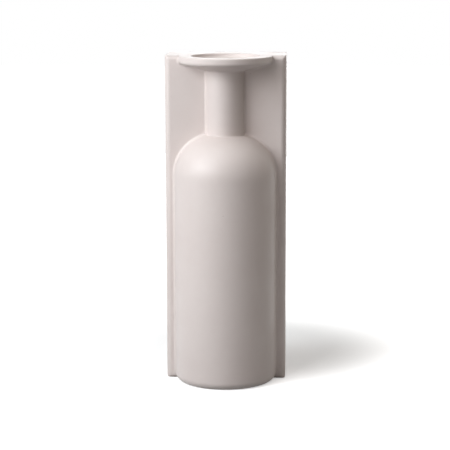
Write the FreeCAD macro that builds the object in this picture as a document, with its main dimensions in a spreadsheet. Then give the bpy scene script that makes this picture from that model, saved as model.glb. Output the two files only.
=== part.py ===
"""Hanging wall vase: a round bottle that stands half out of a flat-backed hollow block.

The block's front face lies in the plane of the bottle's axis, so the front half of the
bottle, its neck and its wide lip stand out of the face and the rear half is inside the
block. The clay pieces are modelled separately, as they are formed and luted together:
a base slab, a rolled cylinder, a domed shoulder, a neck tube, a funnel-shaped lip collar
and the panels that box in the rear half. The back panel has a keyhole for a wall screw.

Millimetres, +Z up, front towards -Y. The origin is the middle of the footprint, on the
surface that the vase stands on.
"""
import FreeCAD, Part
import math
import os

import Sketcher

doc = FreeCAD.newDocument("WallVase")

# Driving sizes, each written once.
SIZES = {
    # The bottle, revolved about its upright axis. shoulder_centre is how far the centre
    # of the shoulder's arc lies from that axis.
    "bottle_radius": 50.3,
    "bottle_wall": 5.0,
    "cylinder_height": 199.0,
    "shoulder_centre": 8.9,
    "neck_radius": 18.4,
    "neck_wall": 5.0,
    "neck_length": 63.5,
    "foot_round": 7.0,
    # The lip collar, a shallow funnel with an upright rim, a little narrower than the bottle.
    "lip_step_in": 4.5,
    "rim_width": 12.3,
    "collar_rise": 7.2,
    "collar_wall": 5.2,
    "mouth_depth": 3.8,
    "mouth_round": 1.0,
    "dish_round": 2.5,
    "rim_top_round": 1.2,
    "rim_foot_round": 2.5,
    # The block behind the bottle.
    "face_margin": 9.45,
    "face_thickness": 6.5,
    "side_thickness": 5.5,
    "back_thickness": 5.5,
    "back_gap": 0.3,
    "base_thickness": 8.0,
    "deck_thickness": 7.0,
    # The block's softened edges.
    "upright_edge_round": 5.5,
    "top_edge_round": 4.5,
    "bottom_edge_round": 3.0,
    "back_edge_round": 1.5,
    "top_corner_round": 1.0,
    "bottom_corner_round": 1.5,
    # The bead of slip that is smoothed into the corner between bottle and face.
    "slip_bead": 3.0,
    # The keyhole for a wall screw.
    "keyhole_drop": 45.0,
    "keyhole_entry_radius": 5.0,
    "keyhole_slot_half": 2.5,
    "keyhole_travel": 12.0,
    # How far a cutting or trimming solid runs past what it cuts.
    "overrun": 2.0,
}

# Places and sizes that follow from the driving sizes.
CYLINDER_INSIDE = "(Sizes.bottle_radius - Sizes.bottle_wall)"
BORE = "(Sizes.neck_radius - Sizes.neck_wall)"
SHOULDER_RADIUS = "(Sizes.bottle_radius - Sizes.shoulder_centre)"
SHOULDER_INSIDE = f"({SHOULDER_RADIUS} - Sizes.bottle_wall)"
SHOULDER_REACH = "(Sizes.neck_radius - Sizes.shoulder_centre)"
CYLINDER_TOP = "(Sizes.base_thickness + Sizes.cylinder_height)"
SHOULDER_TOP = f"({CYLINDER_TOP} + sqrt({SHOULDER_RADIUS} ^ 2 - {SHOULDER_REACH} ^ 2))"
NECK_FOOT = f"({CYLINDER_TOP} + sqrt({SHOULDER_INSIDE} ^ 2 - {SHOULDER_REACH} ^ 2))"
COLLAR_RADIUS = "(Sizes.bottle_radius - Sizes.lip_step_in)"
MOUTH_RADIUS = f"({COLLAR_RADIUS} - Sizes.rim_width)"
NECK_TOP = f"({SHOULDER_TOP} + Sizes.neck_length)"
RIM_FOOT = f"({NECK_TOP} + Sizes.collar_rise)"
BLOCK_TOP = f"({RIM_FOOT} + Sizes.deck_thickness)"
HALF_WIDTH = "(Sizes.bottle_radius + Sizes.face_margin)"
SIDE_INSIDE = f"({HALF_WIDTH} - Sizes.side_thickness)"
BACK_INSIDE = "(Sizes.bottle_radius + Sizes.back_gap)"
BLOCK_DEPTH = f"({BACK_INSIDE} + Sizes.back_thickness)"
AXIS_SHIFT = f"((Sizes.bottle_radius - {BLOCK_DEPTH}) / 2)"

EDGE_TOLERANCE = 1e-4


def make_sheet():
    """Write the driving sizes into the spreadsheet and return it."""
    sheet = doc.addObject("Spreadsheet::Sheet", "Sizes")
    for row, (alias, number) in enumerate(SIZES.items(), start=1):
        sheet.set(f"A{row}", alias)
        sheet.set(f"B{row}", str(number))
        sheet.setAlias(f"B{row}", alias)
    doc.recompute()
    return sheet


SHEET = make_sheet()


def value(expression):
    """Return the number that an expression gives with the present sizes."""
    return float(SHEET.evalExpression(expression))


def origin_plane(body, role):
    """Return the body's own origin plane with that role."""
    return next(item for item in body.Origin.OriginFeatures if item.Role == role)


def arc_between(start, end, radius, turn):
    """Return the arc of less than half a turn from start to end.

    turn is 1 where the outline turns left along the arc and -1 where it turns right.
    """
    chord = end - start
    rise = math.sqrt(radius ** 2 - (chord.Length / 2) ** 2)
    left = FreeCAD.Vector(-chord.y, chord.x, 0).normalize()
    centre = start + chord / 2 + left * (turn * rise)
    first, last = (start, end) if turn > 0 else (end, start)
    angles = [math.atan2(point.y - centre.y, point.x - centre.x) for point in (first, last)]
    circle = Part.Circle(centre, FreeCAD.Vector(0, 0, 1), radius)
    return Part.ArcOfCircle(circle, *angles)


def pin_point(sketch, geometry, vertex, place, axis_name):
    """Hold one coordinate of a vertex at an expression."""
    along_x = axis_name == "DistanceX"
    number = value(place)
    if place == "0":
        sketch.addConstraint(Sketcher.Constraint("PointOnObject", geometry, vertex, -2 if along_x else -1))
        return
    ends = (-1, 1, geometry, vertex) if number > 0 else (geometry, vertex, -1, 1)
    index = sketch.addConstraint(Sketcher.Constraint(axis_name, *ends, abs(number)))
    sketch.setExpression(f"Constraints[{index}]", place if number > 0 else f"-({place})")


def draw_outline(sketch, corners):
    """Draw a closed, fully constrained outline.

    Each corner is (x, y) where a straight line reaches it, or (x, y, radius, turn) where
    an arc does. Places and radii are expressions.
    """
    points = [FreeCAD.Vector(value(corner[0]), value(corner[1]), 0) for corner in corners]
    ends = []
    for index, corner in enumerate(corners):
        start, end = points[index - 1], points[index]
        if len(corner) == 2:
            geometry = sketch.addGeometry(Part.LineSegment(start, end), False)
            ends.append((geometry, 1, 2))
            continue
        radius, turn = corner[2:]
        geometry = sketch.addGeometry(arc_between(start, end, value(radius), turn), False)
        ends.append((geometry, 1, 2) if turn > 0 else (geometry, 2, 1))
        constraint = sketch.addConstraint(Sketcher.Constraint("Radius", geometry, value(radius)))
        sketch.setExpression(f"Constraints[{constraint}]", radius)
    for index, (geometry, _, last) in enumerate(ends):
        following, first, _ = ends[(index + 1) % len(ends)]
        sketch.addConstraint(Sketcher.Constraint("Coincident", geometry, last, following, first))
        pin_point(sketch, geometry, last, corners[index][0], "DistanceX")
        pin_point(sketch, geometry, last, corners[index][1], "DistanceY")


def sketched_body(name, role, corners):
    """Return a new body and its sketch of one outline on an origin plane."""
    body = doc.addObject("PartDesign::Body", name)
    sketch = body.newObject("Sketcher::SketchObject", f"{name}_outline")
    sketch.AttachmentSupport = [(origin_plane(body, role), "")]
    sketch.MapMode = "FlatFace"
    doc.recompute()
    draw_outline(sketch, corners)
    return body, sketch


def revolved(name, corners):
    """Return a body revolved about the bottle's axis from an (x, z) outline."""
    body, sketch = sketched_body(name, "XZ_Plane", corners)
    turn = body.newObject("PartDesign::Revolution", f"{name}_turn")
    turn.Profile = sketch
    turn.ReferenceAxis = (sketch, ["V_Axis"])
    turn.Angle = 360
    doc.recompute()
    return body


def padded(name, role, corners, length, reversed_pad=False, both_ways=False):
    """Return a body padded from an outline by a length."""
    body, sketch = sketched_body(name, role, corners)
    pad = body.newObject("PartDesign::Pad", f"{name}_pad")
    pad.Profile = sketch
    pad.setExpression("Length", length)
    pad.Reversed = reversed_pad
    pad.Midplane = both_ways
    doc.recompute()
    return body


def round_ring(body, radius, height, rounding):
    """Round the body's circular edge that has this radius and height."""
    base = body.Tip
    names = []
    for number, edge in enumerate(base.Shape.Edges, start=1):
        if isinstance(edge.Curve, Part.Circle) and abs(edge.Curve.Radius - value(radius)) < EDGE_TOLERANCE:
            level = abs(edge.Curve.Center.z - value(height)) < EDGE_TOLERANCE
            flat = edge.BoundBox.ZLength < EDGE_TOLERANCE
            if level and flat:
                names.append(f"Edge{number}")
    if not names:
        raise RuntimeError(f"{body.Name} has no edge of radius {radius} at {height}")
    fillet = body.newObject("PartDesign::Fillet", f"{body.Name}_round")
    fillet.Base = (base, names)
    fillet.setExpression("Radius", rounding)
    doc.recompute()


def turned_away(body, corners, angle):
    """Turn away an outline given at the front, half the angle to each side of it."""
    before = body.Shape.Volume
    sketch = body.newObject("Sketcher::SketchObject", f"{body.Name}_waste")
    sketch.AttachmentSupport = [(origin_plane(body, "YZ_Plane"), "")]
    sketch.MapMode = "FlatFace"
    doc.recompute()
    draw_outline(sketch, corners)
    groove = body.newObject("PartDesign::Groove", f"{body.Name}_groove")
    groove.Profile = sketch
    groove.ReferenceAxis = (sketch, ["V_Axis"])
    groove.Midplane = True
    groove.setExpression("Angle", angle)
    doc.recompute()
    if not body.Shape.Volume < before:
        raise RuntimeError(f"{groove.Name} cut nothing")


def between(name, across, deep, tall):
    """Return a plain box between two places along X, Y and Z."""
    box = doc.addObject("Part::Box", name)
    spans = zip(("Length", "Width", "Height"), "xyz", (across, deep, tall))
    for size_name, axis_name, (low, high) in spans:
        box.setExpression(size_name, f"({high}) - ({low})")
        box.setExpression(f".Placement.Base.{axis_name}", low)
    return box


def common(name, first, second):
    """Return what two shapes share."""
    result = doc.addObject("Part::Common", name)
    result.Base = first
    result.Tool = second
    return result


def cut(name, base, tool):
    """Return a shape less another."""
    result = doc.addObject("Part::Cut", name)
    result.Base = base
    result.Tool = tool
    return result


def rounded_box_outline(half_across, rise, first_round, second_round):
    """Return the outline of a rectangle on the upright axis with two rounded pairs of corners.

    It runs from zero up to rise. first_round is at zero and second_round at rise.
    """
    low, high = f"-{half_across}", half_across
    return [
        (f"{high} - {first_round}", "0"),
        (high, first_round, first_round, 1),
        (high, f"{rise} - {second_round}"),
        (f"{high} - {second_round}", rise, second_round, 1),
        (f"{low} + {second_round}", rise),
        (low, f"{rise} - {second_round}", second_round, 1),
        (low, first_round),
        (f"{low} + {first_round}", "0", first_round, 1),
    ]


def side_outline():
    """Return the block's outline seen from the side, with its front at zero."""
    front_foot, front_top, back = "Sizes.bottom_edge_round", "Sizes.top_edge_round", "Sizes.back_edge_round"
    return [
        (f"{BLOCK_DEPTH} - {back}", "0"),
        (BLOCK_DEPTH, back, back, 1),
        (BLOCK_DEPTH, f"{BLOCK_TOP} - {back}"),
        (f"{BLOCK_DEPTH} - {back}", BLOCK_TOP, back, 1),
        (front_top, BLOCK_TOP),
        ("0", f"{BLOCK_TOP} - {front_top}", front_top, 1),
        ("0", front_foot),
        (front_foot, "0", front_foot, 1),
    ]


def make_block_form():
    """Return the block's outer form: what its plan, side and front outlines share."""
    plan = padded(
        "BlockPlan", "XY_Plane",
        rounded_box_outline(HALF_WIDTH, BLOCK_DEPTH, "Sizes.upright_edge_round", "Sizes.back_edge_round"),
        BLOCK_TOP)
    side = padded("BlockSide", "YZ_Plane", side_outline(), f"2 * {HALF_WIDTH}", both_ways=True)
    front = padded(
        "BlockFront", "XZ_Plane",
        rounded_box_outline(HALF_WIDTH, BLOCK_TOP, "Sizes.bottom_corner_round", "Sizes.top_corner_round"),
        BLOCK_DEPTH, reversed_pad=True)
    return common("BlockForm", common("BlockPlanSide", plan, side), front)


def make_bottle_form(name, rounded_rim):
    """Return the bottle's solid outer form, with or without its rounded top edge."""
    body = revolved(name, [
        ("Sizes.bottle_radius", "0"),
        ("Sizes.bottle_radius", CYLINDER_TOP),
        ("Sizes.neck_radius", SHOULDER_TOP, SHOULDER_RADIUS, 1),
        ("Sizes.neck_radius", NECK_TOP),
        (COLLAR_RADIUS, RIM_FOOT),
        (COLLAR_RADIUS, BLOCK_TOP),
        ("0", BLOCK_TOP),
        ("0", "0"),
    ])
    round_ring(body, "Sizes.bottle_radius", "0", "Sizes.foot_round")
    round_ring(body, COLLAR_RADIUS, RIM_FOOT, "Sizes.rim_foot_round")
    if rounded_rim:
        round_ring(body, COLLAR_RADIUS, BLOCK_TOP, "Sizes.rim_top_round")
    return body


def make_outer_form(block_form, bottle_form):
    """Return the vase's whole outer form, with the slip bead smoothed into the corner."""
    joined = doc.addObject("Part::Fuse", "JoinedForm")
    joined.Base = block_form
    joined.Tool = bottle_form
    doc.recompute()
    skin = bottle_form.Shape.Shells[0]
    bead = value("Sizes.slip_bead")
    edges = []
    for number, edge in enumerate(joined.Shape.Edges, start=1):
        middle = edge.valueAt((edge.FirstParameter + edge.LastParameter) / 2)
        in_face = abs(middle.y) < EDGE_TOLERANCE and edge.BoundBox.YLength < EDGE_TOLERANCE
        if in_face and skin.distToShape(Part.Vertex(middle))[0] < EDGE_TOLERANCE:
            edges.append((number, bead, bead))
    outer = doc.addObject("Part::Fillet", "OuterForm")
    outer.Base = joined
    outer.Edges = edges
    doc.recompute()
    return outer


def finish(piece, label):
    """Give a piece its name and put the footprint's middle at the origin."""
    piece.Label = label
    piece.setExpression(".Placement.Base.y", AXIS_SHIFT)
    return piece


def make_base_slab(outer):
    """The slab cut to the footprint, a rectangle with the front half of a disc."""
    reach = f"({HALF_WIDTH} + Sizes.overrun)"
    region = between(
        "BaseRegion", (f"-{reach}", reach),
        ("-Sizes.bottle_radius - Sizes.overrun", f"{BLOCK_DEPTH} + Sizes.overrun"),
        ("-Sizes.overrun", "Sizes.base_thickness"))
    return finish(common("BaseSlab", outer, region), "base_slab")


def make_bottle_cylinder():
    """The rolled slab that makes the straight bottle wall."""
    body = revolved("BottleCylinder", [
        ("Sizes.bottle_radius", "Sizes.base_thickness"),
        ("Sizes.bottle_radius", CYLINDER_TOP),
        (CYLINDER_INSIDE, CYLINDER_TOP),
        (CYLINDER_INSIDE, "Sizes.base_thickness"),
    ])
    return finish(body, "bottle_cylinder")


def make_bottle_shoulder():
    """The domed shoulder, with a round hole in which the neck stands."""
    body = revolved("BottleShoulder", [
        ("Sizes.bottle_radius", CYLINDER_TOP),
        ("Sizes.neck_radius", SHOULDER_TOP, SHOULDER_RADIUS, 1),
        ("Sizes.neck_radius", NECK_FOOT),
        (CYLINDER_INSIDE, CYLINDER_TOP, SHOULDER_INSIDE, -1),
    ])
    return finish(body, "bottle_shoulder")


def make_neck_tube():
    """The straight neck, let into the shoulder and flush with its inside."""
    body = revolved("NeckTube", [
        ("Sizes.neck_radius", NECK_FOOT),
        ("Sizes.neck_radius", NECK_TOP),
        (BORE, NECK_TOP),
        (BORE, NECK_FOOT),
    ])
    return finish(body, "neck_tube")


def make_lip_collar():
    """The wide funnel that is the mouth; its top edge is rounded only where it stands free."""
    mouth_floor = f"({BLOCK_TOP} - Sizes.mouth_depth)"
    body = revolved("LipCollar", [
        ("Sizes.neck_radius", NECK_TOP),
        (COLLAR_RADIUS, RIM_FOOT),
        (COLLAR_RADIUS, BLOCK_TOP),
        (MOUTH_RADIUS, BLOCK_TOP),
        (MOUTH_RADIUS, mouth_floor),
        (BORE, f"{NECK_TOP} + Sizes.collar_wall"),
        (BORE, NECK_TOP),
    ])
    round_ring(body, COLLAR_RADIUS, RIM_FOOT, "Sizes.rim_foot_round")
    round_ring(body, MOUTH_RADIUS, BLOCK_TOP, "Sizes.mouth_round")
    round_ring(body, MOUTH_RADIUS, mouth_floor, "Sizes.dish_round")
    rim, rounding = f"-{COLLAR_RADIUS}", "Sizes.rim_top_round"
    turned_away(body, [
        (rim, f"{BLOCK_TOP} - {rounding}", rounding, 1),
        (rim, BLOCK_TOP),
        (f"{rim} + {rounding}", BLOCK_TOP),
    ], f"180 deg + 2 * asin(Sizes.top_edge_round / {COLLAR_RADIUS})")
    return finish(body, "lip_collar")


def make_top_deck(outer, bottle_stock):
    """The slab that closes the block, notched round the rear half of the lip."""
    reach = f"({HALF_WIDTH} + Sizes.overrun)"
    region = between(
        "DeckRegion", (f"-{reach}", reach),
        ("-Sizes.slip_bead - Sizes.overrun", f"{BLOCK_DEPTH} + Sizes.overrun"),
        (RIM_FOOT, f"{BLOCK_TOP} + Sizes.overrun"))
    return finish(cut("TopDeck", common("DeckStock", outer, region), bottle_stock), "top_deck")


def make_face_panel(name, label, hand, outer, bottle_stock):
    """One half of the face, cut to the bottle's outline; hand is 1 for right, -1 for left."""
    outside = f"({HALF_WIDTH} + Sizes.overrun)"
    across = ("0", outside) if hand > 0 else (f"-{outside}", "0")
    region = between(
        f"{name}Region", across, ("-Sizes.slip_bead - Sizes.overrun", "Sizes.face_thickness"),
        ("Sizes.base_thickness", RIM_FOOT))
    return finish(cut(name, common(f"{name}Stock", outer, region), bottle_stock), label)


def make_side_panel(name, label, hand, block_form):
    """One side of the block, between face and back; hand is 1 for right, -1 for left."""
    outside = f"({HALF_WIDTH} + Sizes.overrun)"
    across = (SIDE_INSIDE, outside) if hand > 0 else (f"-{outside}", f"-{SIDE_INSIDE}")
    region = between(
        f"{name}Region", across, ("Sizes.face_thickness", BACK_INSIDE), ("Sizes.base_thickness", RIM_FOOT))
    return finish(common(name, block_form, region), label)


def make_back_panel(block_form):
    """The flat back, with a keyhole high up behind the neck."""
    reach = f"({HALF_WIDTH} + Sizes.overrun)"
    region = between(
        "BackRegion", (f"-{reach}", reach), (BACK_INSIDE, f"{BLOCK_DEPTH} + Sizes.overrun"),
        ("Sizes.base_thickness", RIM_FOOT))
    entry, slot = "Sizes.keyhole_entry_radius", "Sizes.keyhole_slot_half"
    centre = f"({BLOCK_TOP} - Sizes.keyhole_drop)"
    shoulder = f"({centre} + sqrt({entry} ^ 2 - {slot} ^ 2))"
    seat = f"({centre} + Sizes.keyhole_travel)"
    keyhole = padded("Keyhole", "XZ_Plane", [
        ("0", f"{centre} - {entry}", entry, 1),
        (slot, shoulder, entry, 1),
        (slot, seat),
        ("0", f"{seat} + {slot}", slot, 1),
        (f"-{slot}", seat, slot, 1),
        (f"-{slot}", shoulder),
    ], f"{BLOCK_DEPTH} + Sizes.overrun", reversed_pad=True)
    return finish(cut("BackPanel", common("BackStock", block_form, region), keyhole), "back_panel")


def check_document():
    """Stop if any object failed or any shape is empty or invalid."""
    for item in doc.Objects:
        if "Invalid" in item.State or "Error" in item.State:
            raise RuntimeError(f"{item.Label} did not recompute: {item.State}")


def export_pieces(pieces):
    """Write each piece's shape to its own STEP file."""
    os.makedirs("parts", exist_ok=True)
    for piece in pieces:
        shape = piece.Shape
        if shape.isNull() or not shape.isValid():
            raise RuntimeError(f"{piece.Label} has no valid shape")
        if len(shape.Solids) != 1:
            raise RuntimeError(f"{piece.Label} is {len(shape.Solids)} solids, not one")
        shape.exportStep(f"parts/{piece.Label}.step")
        print(f"{piece.Label}: {shape.Volume / 1000:.1f} cubic centimetres")


def main():
    """Build the vase and write its pieces."""
    block_form = make_block_form()
    bottle_form = make_bottle_form("BottleForm", rounded_rim=True)
    bottle_stock = make_bottle_form("BottleStock", rounded_rim=False)
    outer = make_outer_form(block_form, bottle_form)
    pieces = [
        make_base_slab(outer),
        make_bottle_cylinder(),
        make_bottle_shoulder(),
        make_neck_tube(),
        make_lip_collar(),
        make_top_deck(outer, bottle_stock),
        make_face_panel("FacePanelLeft", "face_panel_left", -1, outer, bottle_stock),
        make_face_panel("FacePanelRight", "face_panel_right", 1, outer, bottle_stock),
        make_side_panel("SidePanelLeft", "side_panel_left", -1, block_form),
        make_side_panel("SidePanelRight", "side_panel_right", 1, block_form),
        make_back_panel(block_form),
    ]
    doc.recompute()
    check_document()
    export_pieces(pieces)


main()
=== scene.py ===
"""Hanging wall vase, dressed: a round bottle that stands half out of a flat-backed block.

Each clay piece of the frame is made again here with softened edges and a satin glaze. The
bottle's pieces are turned about its upright axis. The block's pieces are cut from one block
with softened edges, so that they meet flush. A bead of slip runs along the corner between
the bottle and the face. Metres, in the frame's own place.
"""

import logging
import math
from collections.abc import Sequence
from dataclasses import dataclass, field
from enum import Enum

import bmesh
import bpy
from bmesh.types import BMEdge, BMesh, BMVert
from mathutils import Matrix, Vector

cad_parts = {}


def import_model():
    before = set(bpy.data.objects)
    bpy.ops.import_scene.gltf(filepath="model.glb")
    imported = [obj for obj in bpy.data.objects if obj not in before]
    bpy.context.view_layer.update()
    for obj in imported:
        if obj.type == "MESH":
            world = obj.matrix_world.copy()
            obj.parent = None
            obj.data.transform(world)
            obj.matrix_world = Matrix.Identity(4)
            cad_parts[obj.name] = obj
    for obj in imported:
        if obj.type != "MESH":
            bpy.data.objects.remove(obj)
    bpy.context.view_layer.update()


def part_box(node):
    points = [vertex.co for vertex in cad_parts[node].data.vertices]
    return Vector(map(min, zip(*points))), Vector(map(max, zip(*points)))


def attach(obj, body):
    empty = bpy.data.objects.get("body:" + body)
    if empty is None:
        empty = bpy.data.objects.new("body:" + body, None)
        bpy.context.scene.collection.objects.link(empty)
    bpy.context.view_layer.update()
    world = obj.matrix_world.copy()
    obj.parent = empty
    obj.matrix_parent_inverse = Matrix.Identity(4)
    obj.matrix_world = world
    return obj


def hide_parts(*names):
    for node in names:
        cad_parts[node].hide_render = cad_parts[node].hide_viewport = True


LOG = logging.getLogger("wall_vase")
BODY = "root"
ROLLED = "rolled_normal"
UP = Vector((0.0, 0.0, 1.0))

# How finely the curves are drawn.
TURN_STEPS = 240
ARC_STEPS = 10
OUTER_DOME_STEPS = 64
INNER_DOME_STEPS = 32
WALL_LEVELS = 8
NECK_LEVELS = 5

# Distances in metres that count as none: to merge, to lie on a cut, and to compare places.
SAME_PLACE = 1e-7
ON_CUT = 1e-8
TOUCHING = 1e-6

# How far the slip's hidden side lies inside the clay, and a cutter runs past what it cuts.
SUNK = 0.0006
OVERRUN = 0.01

# Edges that turn by more than this stay crisp, and the weight of large faces elsewhere.
SHARP_TURN = math.radians(32)
LARGE_FACE_WEIGHT = 50


class Hand(Enum):
    """The side of the vase that a piece stands on, seen from the front."""

    LEFT = -1
    RIGHT = 1


# Mesh work that every piece shares.


class Outline:
    """A closed outline drawn vertex by vertex, x across and z up, on the plane of the axis."""

    def __init__(self, x: float, z: float) -> None:
        """Start the outline at a point."""
        self.bm = bmesh.new()
        self.first = self.bm.verts.new((x, 0.0, z))
        self.last = self.first

    def line(self, x: float, z: float) -> None:
        """Draw a straight line to a point."""
        vert = self.bm.verts.new((x, 0.0, z))
        self.bm.edges.new((self.last, vert))
        self.last = vert

    def arc(self, x: float, z: float, angle: float, steps: int = ARC_STEPS) -> None:
        """Turn the last vertex about a centre.

        Args:
            x: The centre's place across.
            z: The centre's height.
            angle: The turn in radians, from across towards up.
            steps: The number of straight pieces.
        """
        made = bmesh.ops.spin(
            self.bm, geom=[self.last], cent=(x, 0.0, z), axis=(0.0, -1.0, 0.0), angle=angle, steps=steps,
        )
        self.last = next(item for item in made["geom_last"] if isinstance(item, BMVert))

    def corner(self, x: float, z: float, radius: float, onward: tuple[float, float]) -> None:
        """Run to a corner and round it.

        Args:
            x: The sharp corner's place across.
            z: The sharp corner's height.
            radius: The radius that rounds it.
            onward: A point on the line that leaves the corner.
        """
        tip = Vector((x, z))
        back = (Vector((self.last.co.x, self.last.co.z)) - tip).normalized()
        ahead = (Vector(onward) - tip).normalized()
        half = back.angle(ahead) / 2
        centre = tip + (back + ahead).normalized() * (radius / math.sin(half))
        self.line(*(tip + back * (radius / math.tan(half))))
        left = ahead.x * back.y - ahead.y * back.x > 0
        turn = math.pi - 2 * half
        self.arc(centre.x, centre.y, turn if left else -turn)

    def close(self) -> None:
        """Draw the line from the last vertex to the first."""
        self.bm.edges.new((self.last, self.first))

    def turned(self, axis_y: float) -> BMesh:
        """Turn the closed outline once round the upright axis.

        Args:
            axis_y: The axis's place along Y.

        Returns:
            The closed ring, its faces pointing outwards.
        """
        bmesh.ops.translate(self.bm, verts=self.bm.verts[:], vec=(0.0, axis_y, 0.0))
        bmesh.ops.spin(
            self.bm, geom=self.bm.verts[:] + self.bm.edges[:], cent=(0.0, axis_y, 0.0), axis=UP,
            angle=2 * math.pi, steps=TURN_STEPS, use_merge=True,
        )
        closed(self.bm)
        return self.bm

    def pushed(self, low: float, high: float) -> BMesh:
        """Push the closed outline through from one place along Y to another.

        Args:
            low: Where the solid starts.
            high: Where it ends.

        Returns:
            The closed solid, its faces pointing outwards.
        """
        bmesh.ops.translate(self.bm, verts=self.bm.verts[:], vec=(0.0, low, 0.0))
        face = bmesh.ops.contextual_create(self.bm, geom=self.bm.edges[:])["faces"][0]
        made = bmesh.ops.extrude_face_region(self.bm, geom=[face], use_keep_orig=True)["geom"]
        far = [item for item in made if isinstance(item, BMVert)]
        bmesh.ops.translate(self.bm, verts=far, vec=(0.0, high - low, 0.0))
        closed(self.bm)
        return self.bm


def closed(bm: BMesh) -> None:
    """Merge vertices that share a place, and point the faces outwards."""
    bmesh.ops.remove_doubles(bm, verts=bm.verts[:], dist=SAME_PLACE)
    bmesh.ops.recalc_face_normals(bm, faces=bm.faces[:])


def sliced(bm: BMesh, point: Sequence[float], normal: Sequence[float]) -> BMesh:
    """Take off what lies beyond a plane, and close the cut.

    Args:
        bm: One closed solid, changed in place.
        point: A point on the plane.
        normal: The direction of what is taken off.

    Returns:
        The same bmesh.
    """
    geom = bm.verts[:] + bm.edges[:] + bm.faces[:]
    made = bmesh.ops.bisect_plane(
        bm, geom=geom, dist=ON_CUT, plane_co=point, plane_no=normal, clear_outer=True,
    )
    rim = [item for item in made["geom_cut"] if isinstance(item, BMEdge)]
    if rim:
        bmesh.ops.edgenet_fill(bm, edges=rim)
    return bm


def evaluated(obj: bpy.types.Object) -> bpy.types.Mesh:
    """Return a new mesh of an object with its modifiers applied, and remove the object."""
    graph = bpy.context.evaluated_depsgraph_get()
    finished = obj.evaluated_get(graph)
    mesh = bpy.data.meshes.new_from_object(finished, preserve_all_data_layers=True, depsgraph=graph)
    bpy.data.objects.remove(obj)
    return mesh


def placed(bm: BMesh, name: str) -> bpy.types.Object:
    """Put a bmesh into the scene as an object at the origin, and free the bmesh."""
    mesh = bpy.data.meshes.new(name)
    bm.to_mesh(mesh)
    bm.free()
    obj = bpy.data.objects.new(name, mesh)
    bpy.context.scene.collection.objects.link(obj)
    return obj


def cut_away(bm: BMesh, tool: BMesh) -> BMesh:
    """Take one solid away from another.

    Args:
        bm: The solid to cut, freed here.
        tool: The solid to take away, kept.

    Returns:
        What is left.
    """
    base = placed(bm, "cut_base")
    cutter = placed(tool.copy(), "cut_tool")
    boolean = base.modifiers.new("cut", "BOOLEAN")
    boolean.operation = "DIFFERENCE"
    boolean.solver = "EXACT"
    boolean.object = cutter
    mesh = evaluated(base)
    bpy.data.objects.remove(cutter)
    result = bmesh.new()
    result.from_mesh(mesh)
    bmesh.ops.remove_doubles(result, verts=result.verts[:], dist=SAME_PLACE)
    return result


def together(parts: Sequence[BMesh]) -> BMesh:
    """Return one bmesh that holds several, and free them."""
    result = bmesh.new()
    for part in parts:
        mesh = bpy.data.meshes.new("part")
        part.to_mesh(mesh)
        part.free()
        result.from_mesh(mesh)
        bpy.data.meshes.remove(mesh)
    return result


def shaded(bm: BMesh, name: str) -> bpy.types.Object:
    """Turn a bmesh into a finished object with smooth rounds, flat flats and crisp cuts.

    Args:
        bm: The piece's mesh, freed here.
        name: The piece's name.

    Returns:
        The object, at the origin.
    """
    for face in bm.faces:
        face.smooth = True
    raw = placed(bm, "raw")
    raw.data.set_sharp_from_angle(angle=SHARP_TURN)
    weighted = raw.modifiers.new("even", "WEIGHTED_NORMAL")
    weighted.keep_sharp = True
    weighted.weight = LARGE_FACE_WEIGHT
    mesh = evaluated(raw)
    rolled = mesh.attributes.get(ROLLED)
    if rolled is not None:
        normals = [tuple(corner.vector) for corner in mesh.corner_normals]
        along = [Vector(item.vector) for item in rolled.data]
        for polygon in mesh.polygons:
            if all(along[index].length > 0.5 for index in polygon.vertices):
                for loop in polygon.loop_indices:
                    normals[loop] = tuple(along[mesh.loops[loop].vertex_index].normalized())
        mesh.attributes.remove(rolled)
        mesh.normals_split_custom_set(normals)
    mesh.name = name
    obj = bpy.data.objects.new(name, mesh)
    bpy.context.scene.collection.objects.link(obj)
    return obj


def hang(obj: bpy.types.Object, node: str, dress: bpy.types.Material) -> None:
    """Dress a piece, let it ride on the body and stand for its frame node."""
    obj.data.materials.clear()
    obj.data.materials.append(dress)
    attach(obj, BODY)
    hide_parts(node)
    LOG.info("%s stands for %s: %d faces", obj.name, node, len(obj.data.polygons))


# Finishes.


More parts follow.
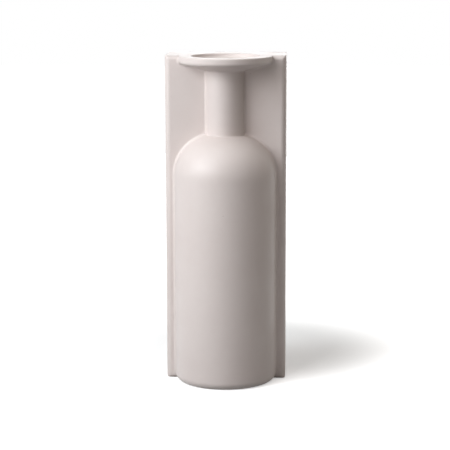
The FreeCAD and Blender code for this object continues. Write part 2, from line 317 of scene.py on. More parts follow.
class Nodes:
    """A material's node tree, with short calls for the nodes that the finishes use."""

    def __init__(self, material: bpy.types.Material) -> None:
        """Start with an empty tree."""
        material.use_nodes = True
        self.tree = material.node_tree
        self.tree.nodes.clear()
        self.place = self.tree.nodes.new("ShaderNodeTexCoord").outputs["Object"]

    def link(self, out: bpy.types.NodeSocket, into: bpy.types.NodeSocket) -> None:
        """Link two sockets."""
        self.tree.links.new(out, into)

    def noise(self, scale: float, detail: float = 2.0, rough: float = 0.5) -> bpy.types.NodeSocket:
        """Return a noise pattern of about 1 / scale metres."""
        node = self.tree.nodes.new("ShaderNodeTexNoise")
        node.inputs["Scale"].default_value = scale
        node.inputs["Detail"].default_value = detail
        node.inputs["Roughness"].default_value = rough
        self.link(self.place, node.inputs["Vector"])
        return node.outputs["Fac"]

    def cells(self, scale: float) -> bpy.types.ShaderNodeTexVoronoi:
        """Return a Voronoi pattern of cells about 1 / scale metres wide."""
        node = self.tree.nodes.new("ShaderNodeTexVoronoi")
        node.inputs["Scale"].default_value = scale
        self.link(self.place, node.inputs["Vector"])
        return node

    def ranged(
        self, source: bpy.types.NodeSocket, low: float, high: float, to_low: float, to_high: float,
    ) -> bpy.types.NodeSocket:
        """Return a source mapped smoothly from one range to another."""
        node = self.tree.nodes.new("ShaderNodeMapRange")
        node.interpolation_type = "SMOOTHSTEP"
        limits = {"From Min": low, "From Max": high, "To Min": to_low, "To Max": to_high}
        for socket, number in limits.items():
            node.inputs[socket].default_value = number
        self.link(source, node.inputs["Value"])
        return node.outputs["Result"]

    def maths(
        self, operation: str, first: bpy.types.NodeSocket, second: bpy.types.NodeSocket | float,
    ) -> bpy.types.NodeSocket:
        """Return the result of a maths node."""
        node = self.tree.nodes.new("ShaderNodeMath")
        node.operation = operation
        self.link(first, node.inputs[0])
        if isinstance(second, float):
            node.inputs[1].default_value = second
        else:
            self.link(second, node.inputs[1])
        return node.outputs[0]

    def height(self) -> bpy.types.NodeSocket:
        """Return the height above the standing surface."""
        node = self.tree.nodes.new("ShaderNodeSeparateXYZ")
        self.link(self.place, node.inputs[0])
        return node.outputs["Z"]

    def mixed(
        self,
        factor: bpy.types.NodeSocket,
        first: bpy.types.NodeSocket | tuple[float, float, float],
        second: bpy.types.NodeSocket | tuple[float, float, float],
    ) -> bpy.types.NodeSocket:
        """Return a colour between two, each a socket or a linear colour."""
        node = self.tree.nodes.new("ShaderNodeMix")
        node.data_type = "RGBA"
        self.link(factor, node.inputs[0])
        # In a colour mix, inputs 6 and 7 are the two colours and output 2 is the result.
        for socket, colour in ((node.inputs[6], first), (node.inputs[7], second)):
            if isinstance(colour, tuple):
                socket.default_value = (*colour, 1.0)
            else:
                self.link(colour, socket)
        return node.outputs[2]

    def bump(
        self, height: bpy.types.NodeSocket, distance: float, strength: float,
        under: bpy.types.NodeSocket | None = None,
    ) -> bpy.types.NodeSocket:
        """Return a bumped normal, over another one where that is given."""
        node = self.tree.nodes.new("ShaderNodeBump")
        node.inputs["Distance"].default_value = distance
        node.inputs["Strength"].default_value = strength
        self.link(height, node.inputs["Height"])
        if under is not None:
            self.link(under, node.inputs["Normal"])
        return node.outputs["Normal"]

    def clay(
        self, colour: bpy.types.NodeSocket, roughness: bpy.types.NodeSocket, normal: bpy.types.NodeSocket,
        specular: float,
    ) -> None:
        """Finish the tree with a Principled shader."""
        shader = self.tree.nodes.new("ShaderNodeBsdfPrincipled")
        shader.inputs["Specular IOR Level"].default_value = specular
        shader.inputs["IOR"].default_value = 1.5
        self.link(colour, shader.inputs["Base Color"])
        self.link(roughness, shader.inputs["Roughness"])
        self.link(normal, shader.inputs["Normal"])
        out = self.tree.nodes.new("ShaderNodeOutputMaterial")
        self.link(shader.outputs[0], out.inputs["Surface"])


def linear(red: int, green: int, blue: int) -> tuple[float, float, float]:
    """Return a screen colour, 0 to 255, as linear light."""
    def one(part: int) -> float:
        """Return one part of the colour as linear light."""
        share = part / 255
        return share / 12.92 if share <= 0.04045 else ((share + 0.055) / 1.055) ** 2.4
    return one(red), one(green), one(blue)


@dataclass(frozen=True)
class SatinGlaze:
    """A satin greige glaze over fine clay, wiped off the foot before firing."""

    name: str = "satin_greige_glaze"
    colour: tuple[int, int, int] = (216, 206, 202)
    pooled: tuple[int, int, int] = (212, 201, 197)
    speck: tuple[int, int, int] = (128, 112, 102)
    clay: tuple[int, int, int] = (196, 180, 166)
    grog: tuple[int, int, int] = (168, 150, 134)
    roughness: float = 0.46
    unevenness: float = 0.05
    specular: float = 0.5
    satin_scale: float = 38.0
    satin_range: tuple[float, float] = (0.3, 0.7)
    cloud_scale: float = 14.0
    cloud_range: tuple[float, float] = (0.35, 0.68)
    cloud_most: float = 0.75
    mottle_scale: float = 150.0
    mottle_range: tuple[float, float] = (0.3, 0.75)
    mottle_most: float = 0.25
    speck_scale: float = 160.0
    speck_edge: tuple[float, float] = (0.045, 0.075)
    speck_choice: tuple[float, float] = (0.985, 0.99)
    speck_strength: float = 0.7
    wiped_height: float = 0.0014
    wipe_scale: float = 260.0
    wipe_wander: float = 0.0012
    wipe_edge: tuple[float, float] = (0.0009, 0.0007)
    grog_scale: float = 1100.0
    grog_range: tuple[float, float] = (0.52, 0.62)
    grog_most: float = 0.8
    bare_roughness: float = 0.86
    wave_scale: float = 22.0
    wave_depth: float = 0.0012
    wave_strength: float = 0.16
    peel_scale: float = 620.0
    peel_depth: float = 0.0001
    peel_strength: float = 0.22
    sand_scale: float = 1700.0
    sand_depth: float = 0.0003
    sand_strength: float = 0.5

    def material(self) -> bpy.types.Material:
        """Return the glaze as a material."""
        material = bpy.data.materials.new(self.name)
        nodes = Nodes(material)
        cloud = nodes.ranged(nodes.noise(self.cloud_scale, 3.0), *self.cloud_range, 0.0, self.cloud_most)
        fine = nodes.noise(self.mottle_scale, 4.0, 0.6)
        mottle = nodes.ranged(fine, *self.mottle_range, 0.0, self.mottle_most)
        pooled = nodes.maths("ADD", cloud, mottle)
        colour = nodes.mixed(pooled, linear(*self.colour), linear(*self.pooled))
        colour = nodes.mixed(self.specks(nodes), colour, linear(*self.speck))
        wander = nodes.maths("MULTIPLY", nodes.noise(self.wipe_scale), self.wipe_wander)
        edge = nodes.maths("SUBTRACT", nodes.height(), wander)
        low, high = (self.wiped_height - below for below in self.wipe_edge)
        bare = nodes.ranged(edge, low, high, 1.0, 0.0)
        crumbs = nodes.noise(self.grog_scale, 2.0, 0.7)
        grog = nodes.ranged(crumbs, *self.grog_range, 0.0, self.grog_most)
        colour = nodes.mixed(bare, colour, nodes.mixed(grog, linear(*self.clay), linear(*self.grog)))
        satin = nodes.ranged(
            nodes.noise(self.satin_scale, 4.0), *self.satin_range,
            self.roughness - self.unevenness, self.roughness + self.unevenness,
        )
        roughness = nodes.maths("MAXIMUM", satin, nodes.maths("MULTIPLY", bare, self.bare_roughness))
        wavy = nodes.bump(nodes.noise(self.wave_scale, 1.0), self.wave_depth, self.wave_strength)
        peel = nodes.bump(nodes.noise(self.peel_scale, 2.0), self.peel_depth, self.peel_strength, wavy)
        grains = nodes.maths("MULTIPLY", nodes.noise(self.sand_scale, 3.0, 0.7), bare)
        sandy = nodes.bump(grains, self.sand_depth, self.sand_strength, peel)
        nodes.clay(colour, roughness, sandy, self.specular)
        return material

    def specks(self, nodes: Nodes) -> bpy.types.NodeSocket:
        """Return a mask of a few tiny iron specks under the glaze."""
        cells = nodes.cells(self.speck_scale)
        dot = nodes.ranged(cells.outputs["Distance"], *self.speck_edge, 1.0, 0.0)
        split = nodes.tree.nodes.new("ShaderNodeSeparateColor")
        nodes.link(cells.outputs["Color"], split.inputs[0])
        chosen = nodes.ranged(split.outputs[0], *self.speck_choice, 0.0, self.speck_strength)
        return nodes.maths("MULTIPLY", dot, chosen)


# The bottle.


@dataclass
class BottleSizes:
    """The bottle's sizes: those that the frame's boxes show, and the rest as fields."""

    axis_y: float
    radius: float
    inside: float
    foot: float
    wall_top: float
    dome_top: float
    neck_foot: float
    neck_radius: float
    neck_top: float
    lip_radius: float
    top: float
    wall: float = 0.005
    foot_round: float = 0.007
    collar_rise: float = 0.0072
    collar_wall: float = 0.0052
    rim_width: float = 0.0123
    mouth_depth: float = 0.0038
    mouth_round: float = 0.001
    dish_round: float = 0.0025
    rim_top_round: float = 0.0012
    rim_foot_round: float = 0.0032
    neck_foot_slip: float = 0.0015
    neck_top_slip: float = 0.002
    square_start: float = 0.0012
    square_length: float = 0.0033

    @classmethod
    def from_frame(cls) -> "BottleSizes":
        """Return the sizes that the frame's boxes give."""
        wall_low, wall_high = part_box("bottle_cylinder")
        dome_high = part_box("bottle_shoulder")[1]
        neck_low, neck_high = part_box("neck_tube")
        lip_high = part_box("lip_collar")[1]
        return cls(
            axis_y=(wall_low.y + wall_high.y) / 2,
            radius=wall_high.x,
            inside=wall_high.x - cls.wall,
            foot=wall_low.z,
            wall_top=wall_high.z,
            dome_top=dome_high.z,
            neck_foot=neck_low.z,
            neck_radius=neck_high.x,
            neck_top=neck_high.z,
            lip_radius=lip_high.x,
            top=lip_high.z,
        )

    @property
    def dome_centre(self) -> float:
        """How far the centre of the dome's arc lies from the axis."""
        rise = self.dome_top - self.wall_top
        spread = self.radius ** 2 - self.neck_radius ** 2 - rise ** 2
        return spread / (2 * (self.radius - self.neck_radius))

    @property
    def dome_radius(self) -> float:
        """The radius of the dome's arc."""
        return self.radius - self.dome_centre

    @property
    def bore(self) -> float:
        """The radius of the neck's inside."""
        return self.neck_radius - self.wall

    @property
    def rim_foot(self) -> float:
        """The height at which the collar's cone meets its upright rim."""
        return self.neck_top + self.collar_rise

    @property
    def cone_slope(self) -> float:
        """The angle of the collar's underside above the level."""
        return math.atan2(self.collar_rise, self.lip_radius - self.neck_radius)

    def dome_angle(self, across: float, radius: float) -> float:
        """Return the angle up a dome arc of some radius at a distance from the axis."""
        return math.acos((across - self.dome_centre) / radius)


class Bottle:
    """The turned bottle: rolled wall, domed shoulder, neck and wide flat lip."""

    def __init__(self, sizes: BottleSizes, glaze: bpy.types.Material) -> None:
        """Keep the sizes and the finish."""
        self.sizes = sizes
        self.glaze = glaze

    def build(self) -> None:
        """Make and dress every piece of the bottle."""
        hang(shaded(self.rolled_wall(), "rolled_wall"), "bottle_cylinder", self.glaze)
        hang(shaded(self.dome(), "domed_shoulder"), "bottle_shoulder", self.glaze)
        hang(shaded(self.neck(), "neck_wall"), "neck_tube", self.glaze)
        hang(shaded(self.lip(), "wide_lip"), "lip_collar", self.glaze)

    def rolled_wall(self) -> BMesh:
        """Return the straight wall."""
        s = self.sizes
        outline = Outline(s.radius, s.foot)
        for level in range(1, WALL_LEVELS + 1):
            outline.line(s.radius, s.foot + (s.wall_top - s.foot) * level / WALL_LEVELS)
        outline.line(s.inside, s.wall_top)
        outline.line(s.inside, s.foot)
        outline.close()
        return outline.turned(s.axis_y)

    def dome(self) -> BMesh:
        """Return the shoulder, an even wall between two arcs of one centre."""
        s = self.sizes
        outer = s.dome_angle(s.neck_radius, s.dome_radius)
        inner = s.dome_angle(s.neck_radius, s.dome_radius - s.wall)
        outline = Outline(s.radius, s.wall_top)
        outline.arc(s.dome_centre, s.wall_top, outer, OUTER_DOME_STEPS)
        outline.line(s.neck_radius, s.wall_top + (s.dome_radius - s.wall) * math.sin(inner))
        outline.arc(s.dome_centre, s.wall_top, -inner, INNER_DOME_STEPS)
        outline.close()
        return outline.turned(s.axis_y)

    def neck(self) -> BMesh:
        """Return the neck, with the slip that softens the corners at its foot and top."""
        s = self.sizes
        foot, top = s.neck_foot_slip, s.neck_top_slip
        reach = s.neck_radius + foot - s.dome_centre
        foot_angle = math.acos(reach / (s.dome_radius + foot))
        foot_level = s.wall_top + (s.dome_radius + foot) * math.sin(foot_angle)
        slope = s.cone_slope
        top_level = s.neck_top + top * math.tan(slope) - top / math.cos(slope)
        touch = Vector((
            s.dome_centre + s.dome_radius * math.cos(foot_angle),
            s.wall_top + s.dome_radius * math.sin(foot_angle),
        ))
        outline = Outline(s.neck_radius - SUNK, s.neck_foot + SUNK)
        outline.line(touch.x, touch.y - SUNK)
        outline.line(touch.x, touch.y)
        outline.arc(s.neck_radius + foot, foot_level, -foot_angle)
        for level in range(1, NECK_LEVELS + 1):
            outline.line(s.neck_radius, foot_level + (top_level - foot_level) * level / NECK_LEVELS)
        outline.arc(s.neck_radius + top, top_level, -(math.pi / 2 - slope))
        outline.line(outline.last.co.x, outline.last.co.z + SUNK)
        outline.line(s.neck_radius - SUNK, s.neck_top + SUNK)
        outline.line(s.bore, s.neck_top)
        outline.line(s.bore, s.neck_foot)
        outline.close()
        return outline.turned(s.axis_y)

    def lip(self) -> BMesh:
        """Return the lip, its top edge rounded in front and square where the deck meets it."""
        s = self.sizes
        mouth = s.lip_radius - s.rim_width
        floor = s.top - s.mouth_depth
        outline = Outline(s.neck_radius, s.neck_top)
        outline.corner(s.lip_radius, s.rim_foot, s.rim_foot_round, (s.lip_radius, s.top))
        outline.corner(s.lip_radius, s.top, s.rim_top_round, (mouth, s.top))
        outline.corner(mouth, s.top, s.mouth_round, (mouth, floor))
        outline.corner(mouth, floor, s.dish_round, (s.bore, s.neck_top + s.collar_wall))
        outline.line(s.bore, s.neck_top + s.collar_wall)
        outline.line(s.bore, s.neck_top)
        outline.close()
        bm = outline.turned(s.axis_y)
        self.square_to_deck(bm)
        return bm

    def square_to_deck(self, bm: BMesh) -> None:
        """Draw the rim's rounded top edge out to a square one where the deck stands beside it."""
        s = self.sizes
        inner, under = s.lip_radius - s.rim_top_round, s.top - s.rim_top_round
        for vert in bm.verts:
            across = math.hypot(vert.co.x, vert.co.y - s.axis_y)
            behind = vert.co.y - s.axis_y
            share = min(max((behind - s.square_start) / s.square_length, 0.0), 1.0)
            if share == 0.0 or across < inner + TOUCHING or vert.co.z < under + TOUCHING:
                continue
            square = Vector((
                vert.co.x * s.lip_radius / across,
                s.axis_y + behind * s.lip_radius / across,
                s.top,
            ))
            vert.co = vert.co.lerp(square, share)
        closed(bm)


# The slip between the bottle and the face.


@dataclass(frozen=True)
class Contact:
    """A place on the bottle's outline where the bead's rolling ball touches it.

    radius and height place it, tilt is the angle of the bottle's outward normal above the
    level, ball is the bead's radius there and behind is how far the face has curved back.
    """

    radius: float
    height: float
    tilt: float
    ball: float
    behind: float = 0.0


@dataclass
class SlipBead:
    """The bead of slip that is smoothed into the corner between the bottle and the face.

    The face's own rounds at its foot and top bend the bead back there. The foot's tilt is in
    degrees. The neck's stretch ends inside the dome and the lip, and the rim's stretch thins
    out and ends just under the top.
    """

    bottle: BottleSizes
    face_foot_round: float
    face_top_round: float
    ball: float = 0.003
    steps: int = 14
    foot_tilt: float = 42.0
    foot_steps: int = 12
    dome_steps: int = 48
    into_dome: float = 0.0022
    into_lip: float = 0.0014
    cone_steps: int = 16
    rim_steps: int = 10
    thinning: float = 0.88
    end_gap: float = 0.0003

    def runs(self) -> list[list[Contact]]:
        """Return the contacts of each stretch, from the foot to the top of the rim."""
        return [self.body_run(), self.neck_run(), self.lip_run()]

    def body_run(self) -> list[Contact]:
        """Return the stretch up the foot, the straight wall and the dome."""
        b, ball = self.bottle, self.ball
        run = []
        for step in range(self.foot_steps + 1):
            tilt = math.radians(-self.foot_tilt + self.foot_tilt * step / self.foot_steps)
            radius = b.radius - b.foot_round + b.foot_round * math.cos(tilt)
            height = b.foot_round + b.foot_round * math.sin(tilt)
            touch = height + ball * math.sin(tilt)
            curve = self.face_foot_round
            below = max(curve - touch, 0.0)
            behind = curve - math.sqrt(max(curve ** 2 - below ** 2, 0.0))
            run.append(Contact(radius, height, tilt, ball, behind))
        end = b.dome_angle(b.neck_radius, b.dome_radius)
        for step in range(self.dome_steps + 1):
            tilt = end * step / self.dome_steps
            radius = b.dome_centre + b.dome_radius * math.cos(tilt)
            height = b.wall_top + b.dome_radius * math.sin(tilt)
            run.append(Contact(radius, height, tilt, ball))
        return run

    def neck_run(self) -> list[Contact]:
        """Return the stretch up the neck, with its ends inside the dome and the lip."""
        b = self.bottle
        ends = (b.dome_top - self.into_dome, b.neck_top + self.into_lip)
        return [Contact(b.neck_radius, height, 0.0, self.ball) for height in ends]

    def lip_run(self) -> list[Contact]:
        """Return the stretch along the collar's underside and up its rim."""
        b, ball = self.bottle, self.ball
        slope = b.cone_slope
        tilt = slope - math.pi / 2
        reach = b.rim_foot_round / math.tan((math.pi / 2 + slope) / 2)
        centre = Vector((b.lip_radius - b.rim_foot_round, b.rim_foot + reach))
        end = centre + b.rim_foot_round * Vector((math.cos(tilt), math.sin(tilt)))
        start = Vector((b.neck_radius, b.neck_top))
        run = []
        for step in range(self.cone_steps + 1):
            place = start.lerp(end, step / self.cone_steps)
            run.append(Contact(place.x, place.y, tilt, ball))
        for step in range(1, self.rim_steps + 1):
            angle = tilt * (1 - step / self.rim_steps)
            place = centre + b.rim_foot_round * Vector((math.cos(angle), math.sin(angle)))
            run.append(Contact(place.x, place.y, angle, ball))
        edge = b.top - self.face_top_round
        for step in range(self.rim_steps + 1):
            height = edge + (self.face_top_round - self.end_gap) * step / self.rim_steps
            rise = height - edge
            behind = self.face_top_round - math.sqrt(self.face_top_round ** 2 - rise ** 2)
            size = ball * (1 - self.thinning * step / self.rim_steps)
            run.append(Contact(b.lip_radius, height, 0.0, size, behind))
        return run

    def section(self, bm: BMesh, contact: Contact, hand: Hand) -> list[BMEdge]:
        """Draw the bead's cross-section at one contact.

        Args:
            bm: The mesh to draw in.
            contact: The place on the bottle's outline.
            hand: The side of the vase.

        Returns:
            The closed section's edges.
        """
        axis = Vector((0.0, self.bottle.axis_y, 0.0))
        ball, side = contact.ball, hand.value
        flat, rise = math.cos(contact.tilt), math.sin(contact.tilt)
        out = contact.radius + ball * flat
        deep = contact.behind - ball
        across = math.sqrt(out ** 2 - deep ** 2)
        level = contact.height + ball * rise
        centre = axis + Vector((side * across, deep, level))
        on_face = axis + Vector((side * across, contact.behind, level))
        outward = Vector((side * across * flat / out, deep * flat / out, rise))
        on_bottle = centre - outward * ball
        layer = bm.verts.layers.float_vector.get(ROLLED) or bm.verts.layers.float_vector.new(ROLLED)
        known = set(bm.edges)
        first = bm.verts.new(on_face)
        arms = on_face - centre, on_bottle - centre
        made = bmesh.ops.spin(
            bm, geom=[first], cent=centre, axis=arms[0].cross(arms[1]).normalized(),
            angle=arms[0].angle(arms[1]), steps=self.steps,
        )
        last = next(item for item in made["geom_last"] if isinstance(item, BMVert))
        arc = [edge for edge in bm.edges if edge not in known]
        for vert in {vert for edge in arc for vert in edge.verts}:
            vert[layer] = (centre - vert.co).normalized()
        corner = axis + Vector((
            side * (contact.radius - SUNK * flat),
            contact.behind + SUNK,
            contact.height - SUNK * rise,
        ))
        behind = [on_bottle - outward * SUNK, corner, on_face + Vector((0.0, SUNK, 0.0))]
        for place in behind:
            vert = bm.verts.new(place)
            arc.append(bm.edges.new((last, vert)))
            last = vert
        arc.append(bm.edges.new((last, first)))
        return arc

    def built(self, hand: Hand, low: float, high: float) -> list[BMesh]:
        """Make the bead of one side between two heights.

        Args:
            hand: The side of the vase.
            low: The lowest height to keep.
            high: The highest height to keep.

        Returns:
            One closed solid for each stretch that reaches between the heights.
        """
        kept = []
        for run in self.runs():
            bm = bmesh.new()
            before = self.section(bm, run[0], hand)
            for contact in run[1:]:
                after = self.section(bm, contact, hand)
                bmesh.ops.bridge_loops(bm, edges=before + after)
                before = after
            bmesh.ops.holes_fill(bm, edges=bm.edges[:], sides=0)
            bmesh.ops.recalc_face_normals(bm, faces=bm.faces[:])
            sliced(bm, (0.0, 0.0, low), -UP)
            sliced(bm, (0.0, 0.0, high), UP)
            if bm.faces:
                kept.append(bm)
            else:
                bm.free()
        return kept


# The block.


@dataclass
class BlockSizes:
    """The block's sizes: those that the frame's boxes show, and the rest as fields."""

    half_width: float
    front: float
    back: float
    top: float
    base_top: float
    deck_foot: float
    face_back: float
    side_inside: float
    back_inside: float
    upright_round: float = 0.0055
    top_round: float = 0.0045
    bottom_round: float = 0.003
    back_round: float = 0.0015
    top_corner: float = 0.001
    bottom_corner: float = 0.0015
    keyhole_drop: float = 0.045
    keyhole_entry: float = 0.005
    keyhole_slot: float = 0.0025
    keyhole_travel: float = 0.012
    keyhole_soft: float = 0.0007
    keyhole_overrun: float = 0.002
    entry_steps: int = 44
    seat_steps: int = 20

    @classmethod
    def from_frame(cls, axis_y: float) -> "BlockSizes":
        """Return the sizes that the frame's boxes give; the face stands in the axis's plane."""
        side_low, side_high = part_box("side_panel_right")
        back_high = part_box("back_panel")[1]
        deck_low, deck_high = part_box("top_deck")
        return cls(
            half_width=side_high.x,
            front=axis_y,
            back=back_high.y,
            top=deck_high.z,
            base_top=side_low.z,
            deck_foot=side_high.z,
            face_back=side_low.y,
            side_inside=side_low.x,
            back_inside=side_high.y,
        )


class Block:
    """The box behind the bottle: base slab, deck, face, sides and back."""

    def __init__(self, sizes: BlockSizes, bottle: BottleSizes, glaze: bpy.types.Material) -> None:
        """Keep the sizes and the finish."""
        self.sizes = sizes
        self.bottle = bottle
        self.glaze = glaze
        self.bead = SlipBead(bottle, sizes.bottom_round, sizes.top_round)

    def build(self) -> None:
        """Make and dress every piece of the block."""
        whole = self.softened_block()
        bottle = self.bottle_form()
        hang(shaded(self.base(whole), "footed_base"), "base_slab", self.glaze)
        hang(shaded(self.deck(whole, bottle), "notched_deck"), "top_deck", self.glaze)
        for hand in Hand:
            word = hand.name.lower()
            hang(shaded(self.face(whole, bottle, hand), f"face_{word}"), f"face_panel_{word}", self.glaze)
            hang(shaded(self.side(whole, hand), f"side_{word}"), f"side_panel_{word}", self.glaze)
        hang(shaded(self.back(whole), "keyhole_back"), "back_panel", self.glaze)
        whole.free()
        bottle.free()

    def softened_block(self) -> BMesh:
        """Return the whole block with each of its edges rounded by its own radius."""
        s = self.sizes
        bm = bmesh.new()
        bmesh.ops.create_cube(bm, size=1.0)
        bmesh.ops.scale(bm, vec=(2 * s.half_width, s.back - s.front, s.top), verts=bm.verts[:])
        bmesh.ops.translate(bm, vec=(0.0, (s.back + s.front) / 2, s.top / 2), verts=bm.verts[:])
        weight = bm.edges.layers.float.new("bevel_weight_edge")
        for edge in bm.edges:
            edge[weight] = self.edge_round(edge) / s.upright_round
        obj = placed(bm, "block")
        bevel = obj.modifiers.new("soft", "BEVEL")
        bevel.limit_method = "WEIGHT"
        bevel.width = s.upright_round
        bevel.segments = 12
        bevel.use_clamp_overlap = False
        mesh = evaluated(obj)
        result = bmesh.new()
        result.from_mesh(mesh)
        closed(result)
        return result

    def edge_round(self, edge: BMEdge) -> float:
        """Return the radius that rounds one of the plain block's edges."""
        s = self.sizes
        first, second = (vert.co for vert in edge.verts)
        middle, run = (first + second) / 2, second - first
        in_front = middle.y < (s.front + s.back) / 2
        at_top = middle.z > s.top / 2
        if abs(run.z) > TOUCHING:
            return s.upright_round if in_front else s.back_round
        if abs(run.y) > TOUCHING:
            return s.top_corner if at_top else s.bottom_corner
        if not in_front:
            return s.back_round
        return s.top_round if at_top else s.bottom_round

    def bottle_form(self) -> BMesh:
        """Return the bottle's solid outer form, running past the block above and below."""
        b = self.bottle
        outline = Outline(0.0, -OVERRUN)
        outline.line(b.radius, -OVERRUN)
        outline.line(b.radius, b.wall_top)
        angle = b.dome_angle(b.neck_radius, b.dome_radius)
        outline.arc(b.dome_centre, b.wall_top, angle, OUTER_DOME_STEPS)
        outline.line(b.neck_radius, b.neck_top)
        outline.corner(b.lip_radius, b.rim_foot, b.rim_foot_round, (b.lip_radius, b.top))
        outline.line(b.lip_radius, b.top + OVERRUN)
        outline.line(0.0, b.top + OVERRUN)
        return outline.turned(b.axis_y)

    def base(self, whole: BMesh) -> BMesh:
        """Return the base slab: the block's foot with the bottle's rounded foot in front."""
        s, b = self.sizes, self.bottle
        slab = sliced(whole.copy(), (0.0, 0.0, s.base_top), UP)
        outline = Outline(0.0, 0.0)
        outline.corner(b.radius, 0.0, b.foot_round, (b.radius, s.base_top))
        outline.line(b.radius, s.base_top)
        outline.line(0.0, s.base_top)
        disc = outline.turned(b.axis_y)
        sliced(disc, (0.0, s.front + s.bottom_round, 0.0), (0.0, 1.0, 0.0))
        parts = [slab, disc]
        for hand in Hand:
            parts += self.bead.built(hand, 0.0, s.base_top)
        return together(parts)

    def deck(self, whole: BMesh, bottle: BMesh) -> BMesh:
        """Return the deck, notched round the rear half of the lip."""
        s = self.sizes
        slab = sliced(whole.copy(), (0.0, 0.0, s.deck_foot), -UP)
        parts = [cut_away(slab, bottle)]
        for hand in Hand:
            parts += self.bead.built(hand, s.deck_foot, s.top)
        return together(parts)

    def face(self, whole: BMesh, bottle: BMesh, hand: Hand) -> BMesh:
        """Return half of the face, cut to the bottle's outline, with its stretch of slip."""
        s = self.sizes
        panel = self.between_slabs(whole)
        sliced(panel, (0.0, s.face_back, 0.0), (0.0, 1.0, 0.0))
        sliced(panel, (0.0, 0.0, 0.0), (-hand.value, 0.0, 0.0))
        parts = [cut_away(panel, bottle)]
        parts += self.bead.built(hand, s.base_top, s.deck_foot)
        return together(parts)

    def side(self, whole: BMesh, hand: Hand) -> BMesh:
        """Return one side, between the face and the back."""
        s = self.sizes
        panel = self.between_slabs(whole)
        sliced(panel, (0.0, s.face_back, 0.0), (0.0, -1.0, 0.0))
        sliced(panel, (0.0, s.back_inside, 0.0), (0.0, 1.0, 0.0))
        return sliced(panel, (hand.value * s.side_inside, 0.0, 0.0), (-hand.value, 0.0, 0.0))

    def back(self, whole: BMesh) -> BMesh:
        """Return the flat back with its keyhole, whose outer edge is softened."""
        s = self.sizes
        panel = self.between_slabs(whole)
        sliced(panel, (0.0, s.back_inside, 0.0), (0.0, -1.0, 0.0))
        bm = cut_away(panel, self.keyhole())
        level = s.top - s.keyhole_drop
        rim = [
            edge for edge in bm.edges
            if all(abs(vert.co.y - s.back) < TOUCHING for vert in edge.verts)
            and all(abs(vert.co.x) < 2 * s.keyhole_entry for vert in edge.verts)
            and all(abs(vert.co.z - level) < 4 * s.keyhole_entry for vert in edge.verts)
        ]
        bmesh.ops.bevel(
            bm, geom=rim, offset=s.keyhole_soft, offset_type="OFFSET", segments=4, profile=0.5,
            affect="EDGES", material=-1,
        )
        return bm

    def keyhole(self) -> BMesh:
        """Return the keyhole as a solid that runs through the back."""
        s = self.sizes
        centre = s.top - s.keyhole_drop
        seat = centre + s.keyhole_travel
        half = math.asin(s.keyhole_slot / s.keyhole_entry)
        shoulder = centre + s.keyhole_entry * math.cos(half)
        outline = Outline(-s.keyhole_slot, shoulder)
        outline.arc(0.0, centre, 2 * math.pi - 2 * half, s.entry_steps)
        outline.line(s.keyhole_slot, seat)
        outline.arc(0.0, seat, math.pi, s.seat_steps)
        outline.close()
        return outline.pushed(s.back_inside - s.keyhole_overrun, s.back + s.keyhole_overrun)

    def between_slabs(self, whole: BMesh) -> BMesh:
        """Return the block's stretch between the base slab and the deck."""
        s = self.sizes
        panel = sliced(whole.copy(), (0.0, 0.0, s.base_top), -UP)
        return sliced(panel, (0.0, 0.0, s.deck_foot), UP)


# The studio.


@dataclass
class Softbox:
    """A square lamp, placed by the direction from the vase to it."""

    name: str
    towards: tuple[float, float, float]
    distance: float
    size: float
    power: float
    colour: tuple[float, float, float] = (0.95, 0.985, 1.0)

    def build(self, aim: Vector) -> None:
        """Make the lamp, turned to face the aim."""
        light = bpy.data.lights.new(self.name, "AREA")
        light.shape = "SQUARE"
        light.size = self.size
        light.energy = self.power
        light.color = self.colour
        obj = bpy.data.objects.new(self.name, light)
        direction = Vector(self.towards).normalized()
        obj.location = aim + direction * self.distance
        obj.rotation_euler = (-direction).to_track_quat("-Z", "Y").to_euler()
        bpy.context.scene.collection.objects.link(obj)


@dataclass
class Viewpoint:
    """The photograph's viewpoint, as angles and distances from the bottle's axis."""

    axis_y: float
    azimuth: float = 2.70
    distance: float = 1.601
    height: float = 0.441
    pitch: float = 10.06
    roll: float = -0.11
    focal: float = 1634.0
    aside: float = 0.57
    frame: float = 450.0

    def build(self) -> None:
        """Make the camera and set it as the scene's."""
        data = bpy.data.cameras.new("viewpoint")
        data.sensor_fit = "HORIZONTAL"
        data.sensor_width = 36.0
        data.lens = self.focal / self.frame * data.sensor_width
        data.clip_start = 0.05
        data.clip_end = 60.0
        around = math.radians(self.azimuth)
        yaw = around + math.atan2(self.aside, self.focal)
        pitch = math.radians(self.pitch)
        roll = math.radians(self.roll)
        level = Vector((math.cos(yaw), math.sin(yaw), 0.0))
        ahead = Vector((-level.y * math.cos(pitch), level.x * math.cos(pitch), -math.sin(pitch)))
        above = level.cross(ahead)
        right = level * math.cos(roll) + above * math.sin(roll)
        upward = above * math.cos(roll) - level * math.sin(roll)
        turn = Matrix((right, upward, -ahead)).transposed()
        obj = bpy.data.objects.new("viewpoint", data)
        place = Vector((
            self.distance * math.sin(around), self.axis_y - self.distance * math.cos(around), self.height,
        ))
        obj.matrix_world = Matrix.Translation(place) @ turn.to_4x4()
        bpy.context.scene.collection.objects.link(obj)
        bpy.context.scene.camera = obj


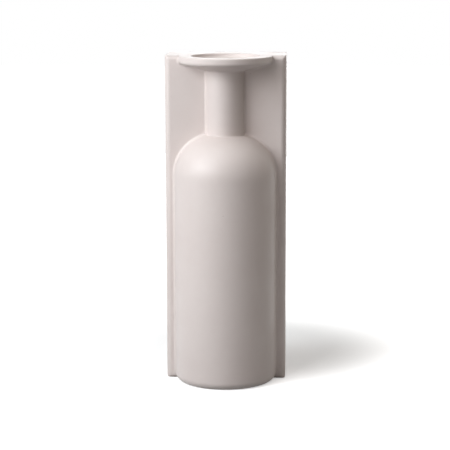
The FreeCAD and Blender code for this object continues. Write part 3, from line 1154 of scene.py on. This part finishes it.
@dataclass
class Studio:
    """A white floor that runs out of sight, soft lamps and a plain white surround.

    The floor glows plain white beyond shadow_reach from shadow_middle, and by floor_glow
    within it, so that the vase's shadow shows there. floor_bounce is its shade for other rays.
    """

    axis_y: float
    aim_height: float = 0.16
    floor_half: float = 4.0
    floor_drop: float = 0.0002
    floor_shade: float = 0.94
    floor_bounce: float = 0.22
    floor_glow: float = 0.225
    shadow_middle: tuple[float, float] = (0.01, 0.125)
    shadow_reach: tuple[float, float] = (0.085, 0.245)
    surround: float = 0.08
    surround_tint: tuple[float, float, float] = (1.0, 0.86, 0.74)
    lamps: list[Softbox] = field(default_factory=lambda: [
        Softbox("key_high", (-0.7, -0.5, 0.55), 0.95, 0.5, 4.15, (0.875, 0.955, 1.0)),
        Softbox("key_side", (-0.85, -0.35, 0.4), 0.95, 0.4, 2.6, (0.97, 0.985, 1.0)),
        Softbox("key_front", (-0.5, -0.75, 0.45), 0.95, 0.5, 2.65, (1.0, 0.95, 0.95)),
        Softbox("overhead", (-0.1, -0.25, 1.0), 0.8, 1.0, 1.3),
        Softbox("shadow_maker", (-0.25, -0.26, 0.933), 1.5, 0.5, 2.6),
        Softbox("right_top", (0.5, -0.3, 0.8), 1.2, 0.8, 1.5, (1.0, 0.93, 0.86)),
        Softbox("rear", (0.15, 1.0, 0.2), 1.6, 1.0, 8.0, (0.94, 0.98, 1.0)),
        Softbox("rim", (0.9, 0.3, 0.2), 1.2, 0.7, 1.1, (1.0, 0.9, 0.78)),
    ])

    def build(self) -> None:
        """Make the floor, the lamps, the surround and the camera."""
        self.floor()
        self.world()
        aim = Vector((0.0, self.axis_y, self.aim_height))
        for lamp in self.lamps:
            lamp.build(aim)
        Viewpoint(self.axis_y).build()
        bpy.context.scene.view_settings.view_transform = "Standard"
        LOG.info("studio: floor, %d lamps and the viewpoint", len(self.lamps))

    def seen(self, tree: bpy.types.NodeTree) -> bpy.types.NodeSocket:
        """Return 1 for rays that show the background, from the camera, a gloss or a glass."""
        path = tree.nodes.new("ShaderNodeLightPath")
        total = path.outputs["Is Camera Ray"]
        for name in ("Is Glossy Ray", "Is Transmission Ray"):
            node = tree.nodes.new("ShaderNodeMath")
            node.operation = "MAXIMUM"
            tree.links.new(total, node.inputs[0])
            tree.links.new(path.outputs[name], node.inputs[1])
            total = node.outputs[0]
        return total

    def floor(self) -> None:
        """Make the floor, which glows for the camera so that only the vase's shadow shows."""
        bm = bmesh.new()
        bmesh.ops.create_grid(bm, x_segments=1, y_segments=1, size=self.floor_half)
        bmesh.ops.translate(bm, verts=bm.verts[:], vec=(0.0, 0.0, -self.floor_drop))
        obj = placed(bm, "floor")
        material = bpy.data.materials.new("white_floor")
        nodes = Nodes(material)
        seen = self.seen(nodes.tree)
        shade = nodes.ranged(seen, 0.0, 1.0, self.floor_bounce, self.floor_shade)
        paper = nodes.tree.nodes.new("ShaderNodeBsdfDiffuse")
        nodes.link(shade, paper.inputs["Color"])
        away = nodes.tree.nodes.new("ShaderNodeVectorMath")
        away.operation = "DISTANCE"
        away.inputs[1].default_value = (*self.shadow_middle, 0.0)
        nodes.link(nodes.place, away.inputs[0])
        level = nodes.ranged(away.outputs["Value"], *self.shadow_reach, self.floor_glow, 1.0)
        glow = nodes.tree.nodes.new("ShaderNodeEmission")
        nodes.link(nodes.maths("MULTIPLY", seen, level), glow.inputs["Strength"])
        both = nodes.tree.nodes.new("ShaderNodeAddShader")
        nodes.link(paper.outputs[0], both.inputs[0])
        nodes.link(glow.outputs[0], both.inputs[1])
        out = nodes.tree.nodes.new("ShaderNodeOutputMaterial")
        nodes.link(both.outputs[0], out.inputs["Surface"])
        obj.data.materials.append(material)

    def world(self) -> None:
        """Make the surround, white where it is seen and a plain soft light elsewhere."""
        world = bpy.data.worlds.new("surround")
        world.use_nodes = True
        tree = world.node_tree
        tree.nodes.clear()
        light = tree.nodes.new("ShaderNodeBackground")
        light.inputs["Strength"].default_value = self.surround
        white = tree.nodes.new("ShaderNodeBackground")
        white.inputs["Strength"].default_value = 1.0
        light.inputs["Color"].default_value = (*self.surround_tint, 1.0)
        white.inputs["Color"].default_value = (1.0, 1.0, 1.0, 1.0)
        mix = tree.nodes.new("ShaderNodeMixShader")
        tree.links.new(self.seen(tree), mix.inputs["Fac"])
        tree.links.new(light.outputs[0], mix.inputs[1])
        tree.links.new(white.outputs[0], mix.inputs[2])
        out = tree.nodes.new("ShaderNodeOutputWorld")
        tree.links.new(mix.outputs[0], out.inputs["Surface"])
        bpy.context.scene.world = world


def main() -> None:
    """Load the frame, and make the vase and its studio."""
    logging.basicConfig(level=logging.INFO, format="%(message)s")
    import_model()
    sizes = BottleSizes.from_frame()
    glaze = SatinGlaze().material()
    Studio(sizes.axis_y).build()
    Bottle(sizes, glaze).build()
    Block(BlockSizes.from_frame(sizes.axis_y), sizes, glaze).build()


if __name__ == "__main__":
    main()
